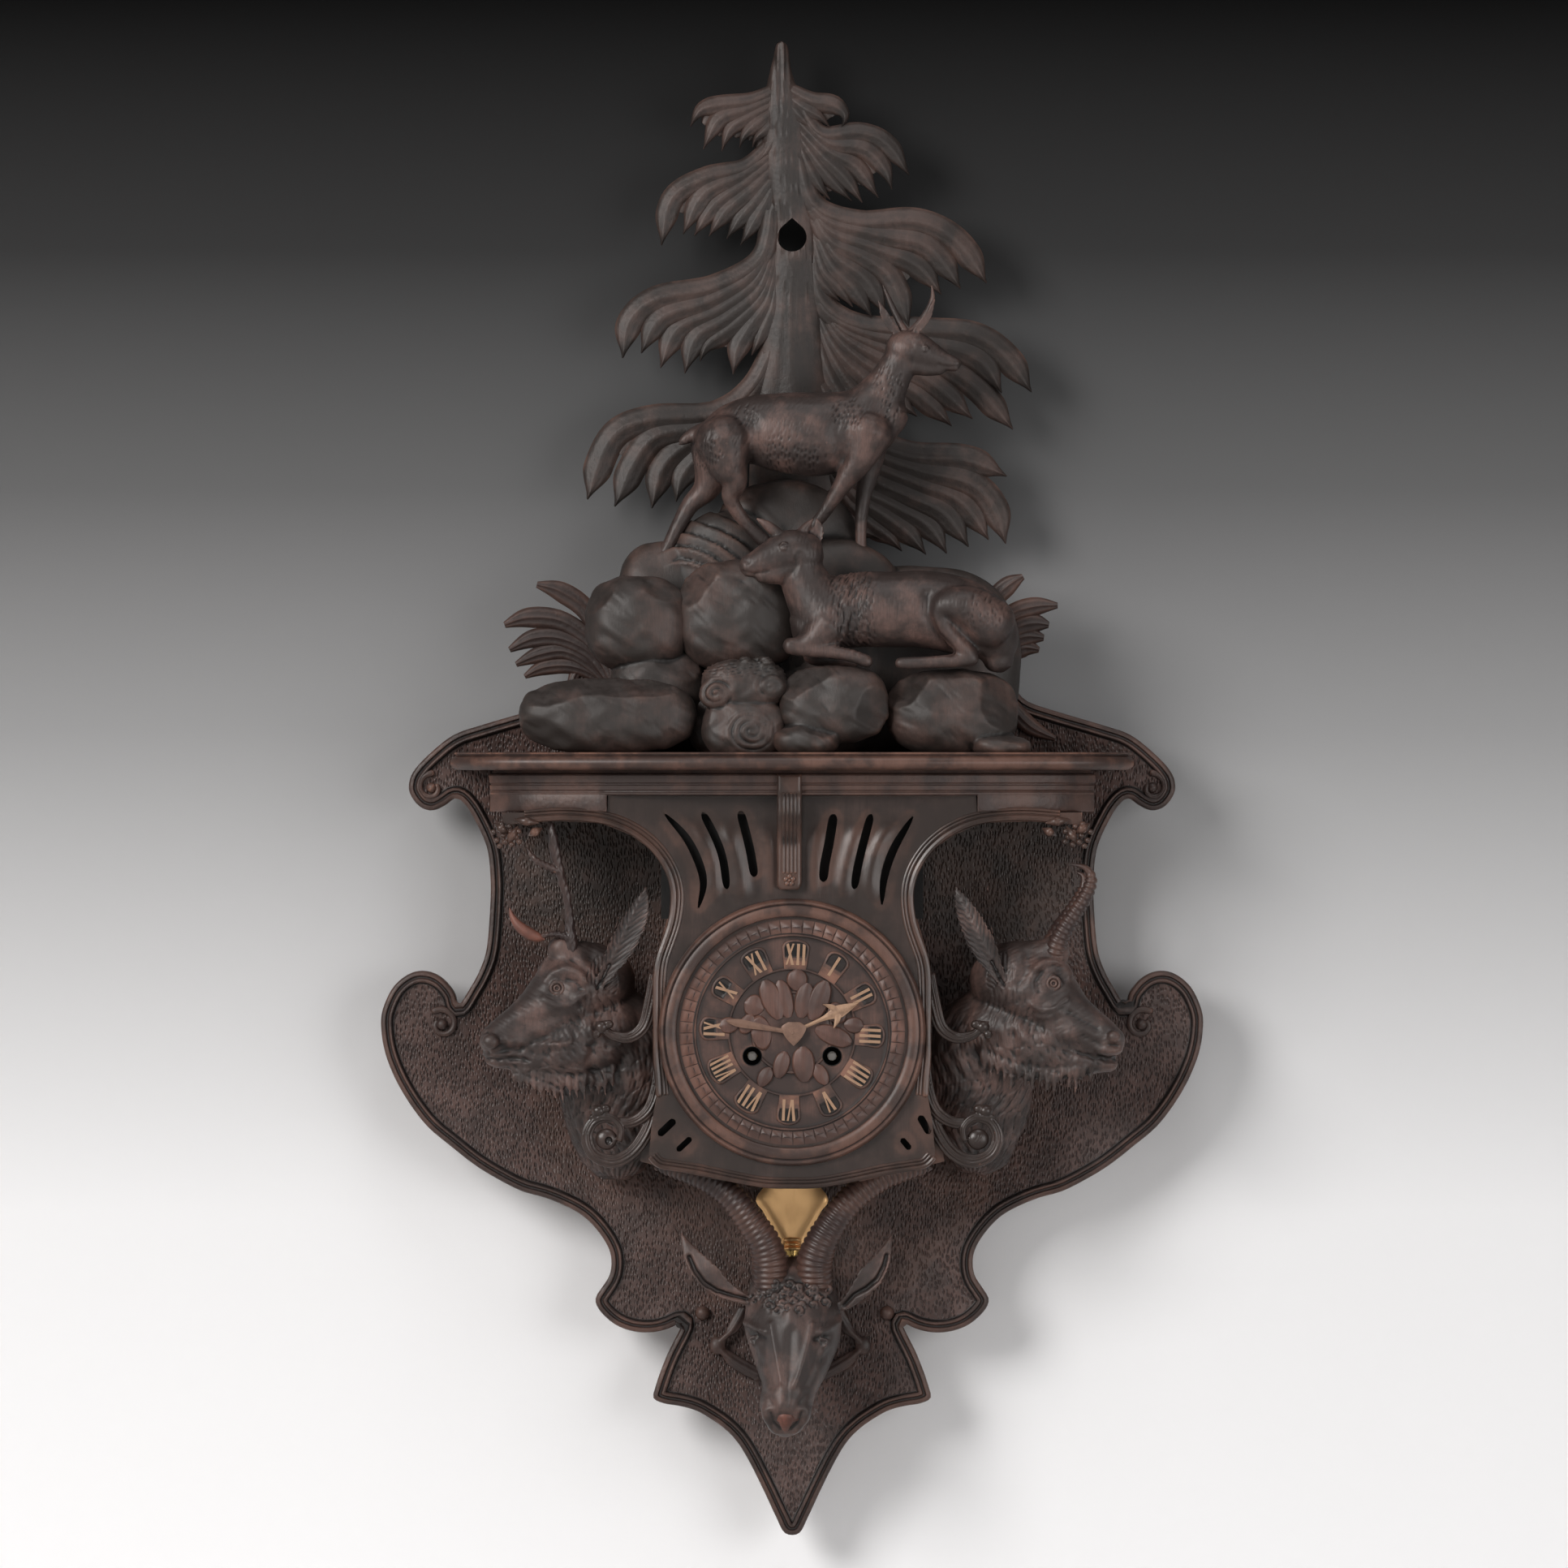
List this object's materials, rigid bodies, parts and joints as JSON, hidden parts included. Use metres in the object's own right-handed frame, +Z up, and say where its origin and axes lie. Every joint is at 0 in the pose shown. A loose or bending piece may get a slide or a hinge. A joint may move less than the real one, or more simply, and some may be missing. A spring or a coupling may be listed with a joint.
{
  "type": "carved wall clock",
  "caption": "Black Forest wall clock with fir tree, chamois on rocks, carved heads on a shaped backboard, wooden dial, striking movement and short gilt pendulum",
  "frame": {"origin": "centre of the round part of the hanging hole in the tree, on the plane of the wall", "axes": "+Z up, -Y out of the wall towards the viewer, +X to the viewer's right"},
  "size_m": [0.468, 0.13, 0.852],
  "materials": {
    "carved_wood": "dark stained wood, worn reddish on the edges, dull wax sheen",
    "dark_wood": "nearly black stained wood with fine grain",
    "dial_wood": "stained wood with worn raised edges",
    "gilt": "dull gilding",
    "gilt_brass": "gilded sheet brass, polished",
    "brass": "satin clock brass",
    "bell_metal": "turned bell metal",
    "steel": "polished steel"
  },
  "bodies": {
    "clock": {"backboard": "dark_wood", "tree": "carved_wood", "fern_left": "carved_wood", "fern_right": "carved_wood", "hill": "dark_wood", "boulder_upper_left": "carved_wood", "boulder_centre": "carved_wood", "boulder_left": "carved_wood", "tree_stump": "carved_wood", "boulder_middle": "carved_wood", "boulder_right": "carved_wood", "standing_chamois": "carved_wood", "lying_chamois": "carved_wood", "shelf": "carved_wood", "cornice": "dark_wood", "case_front": "dark_wood", "case_sides": "dark_wood", "centre_rib": "carved_wood", "scroll_left": "carved_wood", "scroll_right": "carved_wood", "bezel": "dark_wood", "dial": "dial_wood", "numerals": "gilt", "roebuck_head": "carved_wood", "roebuck_antlers": "carved_wood", "chamois_head": "carved_wood", "chamois_horns": "carved_wood", "ibex_head": "carved_wood", "ibex_horns": "carved_wood", "ibex_plaque": "carved_wood", "back_cover": "dark_wood", "front_plate": "brass", "back_plate": "brass", "pillars": "brass", "holding_straps": "brass", "suspension_cock": "brass", "bell": "bell_metal", "bell_stand": "steel"},
    "minute_hand": {"minute_hand": "gilt"},
    "minute_wheel": {"minute_wheel": "brass"},
    "hour": {"hour_wheel": "brass", "hour_hand": "gilt"},
    "centre_arbor": {"centre_arbor": "brass"},
    "going_barrel": {"going_barrel": "brass"},
    "going_arbor": {"going_arbor": "steel"},
    "intermediate_wheel": {"intermediate_wheel": "brass"},
    "third_wheel": {"third_wheel": "brass"},
    "escape_wheel": {"escape_wheel": "brass"},
    "anchor": {"anchor": "steel"},
    "pendulum": {"pendulum_rod": "steel", "pendulum_bob": "gilt_brass", "rating_nut": "gilt_brass"},
    "strike_barrel": {"strike_barrel": "brass"},
    "strike_arbor": {"strike_arbor": "steel"},
    "pin_wheel": {"pin_wheel": "brass"},
    "fly": {"fly": "brass"},
    "hammer": {"hammer": "steel"}
  },
  "joints": [
    {"name": "minute_hand_turn", "type": "hinge", "parent": "clock", "child": "minute_hand", "pos_m": [0, -0.098, -0.452], "axis": [0, 1, 0], "continuous": true},
    {"name": "minute_wheel_turn", "type": "hinge", "parent": "clock", "child": "minute_wheel", "pos_m": [0, -0.078, -0.44], "axis": [0, 1, 0], "continuous": true},
    {"name": "hour_hand_turn", "type": "hinge", "parent": "clock", "child": "hour", "pos_m": [0, -0.097, -0.452], "axis": [0, 1, 0], "continuous": true},
    {"name": "centre_arbor_turn", "type": "hinge", "parent": "clock", "child": "centre_arbor", "pos_m": [0, -0.055, -0.452], "axis": [0, 1, 0], "continuous": true},
    {"name": "going_barrel_turn", "type": "hinge", "parent": "clock", "child": "going_barrel", "pos_m": [0.0225, -0.055, -0.4655], "axis": [0, 1, 0], "continuous": true},
    {"name": "going_winding", "type": "hinge", "parent": "clock", "child": "going_arbor", "pos_m": [0.0225, -0.055, -0.4655], "axis": [0, 1, 0], "range_deg": [0, 1620]},
    {"name": "intermediate_turn", "type": "hinge", "parent": "clock", "child": "intermediate_wheel", "pos_m": [0.01386, -0.055, -0.4481], "axis": [0, 1, 0], "continuous": true},
    {"name": "third_wheel_turn", "type": "hinge", "parent": "clock", "child": "third_wheel", "pos_m": [-0.00501, -0.055, -0.43979], "axis": [0, 1, 0], "continuous": true},
    {"name": "escape_wheel_turn", "type": "hinge", "parent": "clock", "child": "escape_wheel", "pos_m": [0, -0.055, -0.4295], "axis": [0, 1, 0], "continuous": true},
    {"name": "anchor_rock", "type": "hinge", "parent": "clock", "child": "anchor", "pos_m": [0, -0.055, -0.421], "axis": [0, 1, 0], "range_deg": [-4, 4]},
    {"name": "pendulum_swing", "type": "hinge", "parent": "clock", "child": "pendulum", "pos_m": [0, -0.029, -0.421], "axis": [0, 1, 0], "range_deg": [-4, 4]},
    {"name": "strike_barrel_turn", "type": "hinge", "parent": "clock", "child": "strike_barrel", "pos_m": [-0.0225, -0.055, -0.4655], "axis": [0, 1, 0], "continuous": true},
    {"name": "strike_winding", "type": "hinge", "parent": "clock", "child": "strike_arbor", "pos_m": [-0.0225, -0.055, -0.4655], "axis": [0, 1, 0], "range_deg": [0, 1620]},
    {"name": "pin_wheel_turn", "type": "hinge", "parent": "clock", "child": "pin_wheel", "pos_m": [-0.01386, -0.055, -0.4481], "axis": [0, 1, 0], "continuous": true},
    {"name": "fly_turn", "type": "hinge", "parent": "clock", "child": "fly", "pos_m": [-0.01961, -0.055, -0.43814], "axis": [0, 1, 0], "continuous": true},
    {"name": "hammer_lift", "type": "hinge", "parent": "clock", "child": "hammer", "pos_m": [-0.03, -0.055, -0.44], "axis": [0, 1, 0], "range_deg": [0, 12], "stiffness_Nm_per_rad": 0.02, "springref_deg": -11.46}
  ],
  "couplings": [
    {"joint": "minute_wheel_turn", "follows": "minute_hand_turn", "ratio": -0.33333},
    {"joint": "hour_hand_turn", "follows": "minute_hand_turn", "ratio": 0.083333},
    {"joint": "centre_arbor_turn", "follows": "third_wheel_turn", "ratio": -0.1},
    {"joint": "escape_wheel_turn", "follows": "third_wheel_turn", "ratio": -12},
    {"joint": "intermediate_turn", "follows": "third_wheel_turn", "ratio": 0.014286},
    {"joint": "going_barrel_turn", "follows": "third_wheel_turn", "ratio": -0.0020408},
    {"joint": "strike_barrel_turn", "follows": "pin_wheel_turn", "ratio": -0.14286},
    {"joint": "fly_turn", "follows": "pin_wheel_turn", "ratio": -10.5},
    {"joint": "anchor_rock", "follows": "pendulum_swing", "ratio": 1}
  ]
}
